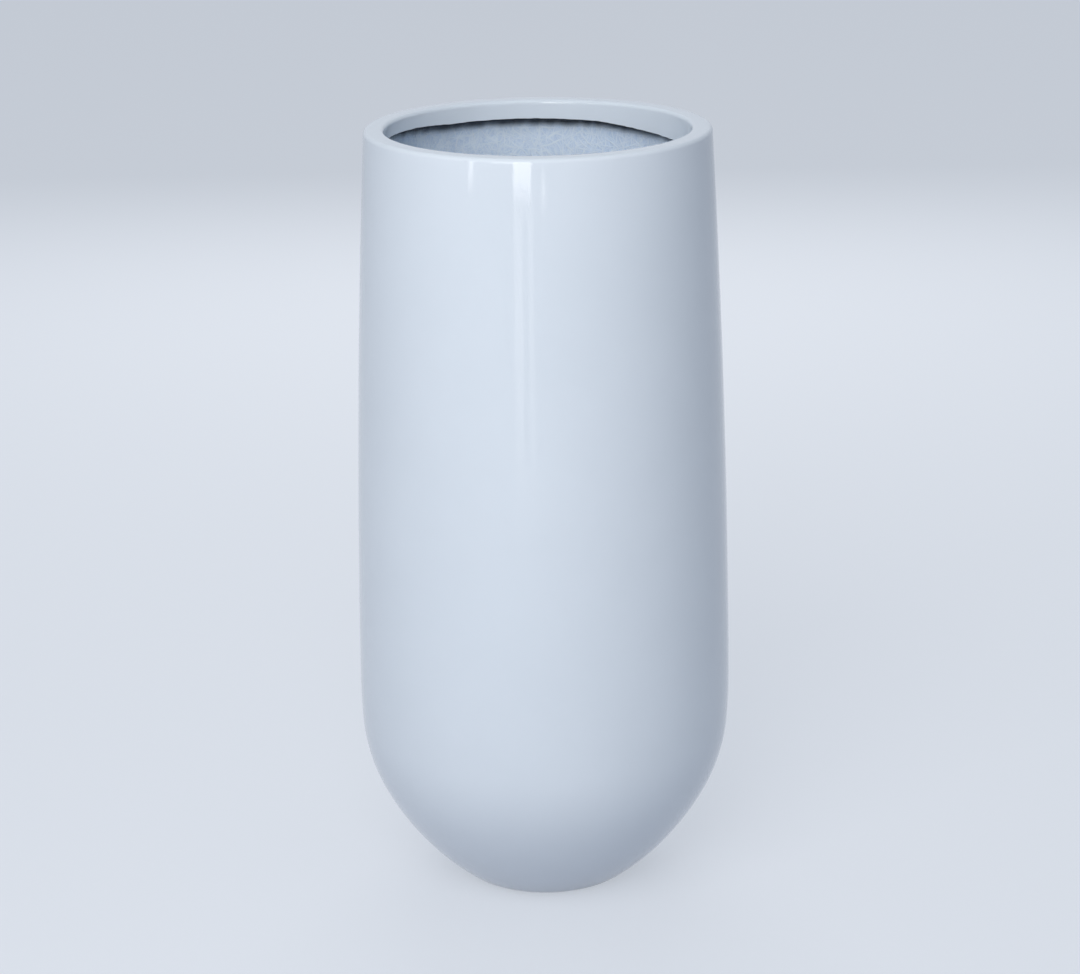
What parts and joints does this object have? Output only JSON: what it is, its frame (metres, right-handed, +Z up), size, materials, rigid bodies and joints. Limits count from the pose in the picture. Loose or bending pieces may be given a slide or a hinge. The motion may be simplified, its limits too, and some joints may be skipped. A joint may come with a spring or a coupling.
{
  "type": "tall fiberglass planter",
  "caption": "Tall floor planter in gloss-white glass fibre: rounded bowl on a flat foot, leaning wall, flat folded rim with a turned-down lip, raw grey inside and a lift-out drain plug.",
  "frame": {"origin": "on the floor, under the middle of the foot", "axes": "+Z up along the pot's axis; +X is the side where the lip is cut deepest"},
  "size_m": [0.39, 0.39, 0.8],
  "materials": {
    "gloss_white": "sprayed gloss white gelcoat and lacquer",
    "glass_laminate": "raw grey glass-mat laminate, fibres showing through the resin",
    "resin_putty": "smoothed resin putty",
    "sleeve_plastic": "moulded dark plastic",
    "plug_rubber": "black moulded rubber",
    "pad_felt": "pressed grey felt"
  },
  "bodies": {
    "planter": {"gloss_coat": "gloss_white", "wall_laminate": "glass_laminate", "bowl_laminate": "glass_laminate", "foot_laminate": "glass_laminate", "joint_strip": "glass_laminate", "rim_collar": "glass_laminate", "collar_bond_bead": "resin_putty", "base_disc": "glass_laminate", "drain_bushing": "sleeve_plastic", "foot_pad_1": "pad_felt", "foot_pad_2": "pad_felt", "foot_pad_3": "pad_felt", "foot_pad_4": "pad_felt"},
    "plug": {"drain_plug": "plug_rubber"}
  },
  "joints": [
    {"name": "plug_lift", "type": "slide", "parent": "planter", "child": "plug", "axis": [0, 0, 1], "range_m": [0, 0.06]}
  ]
}
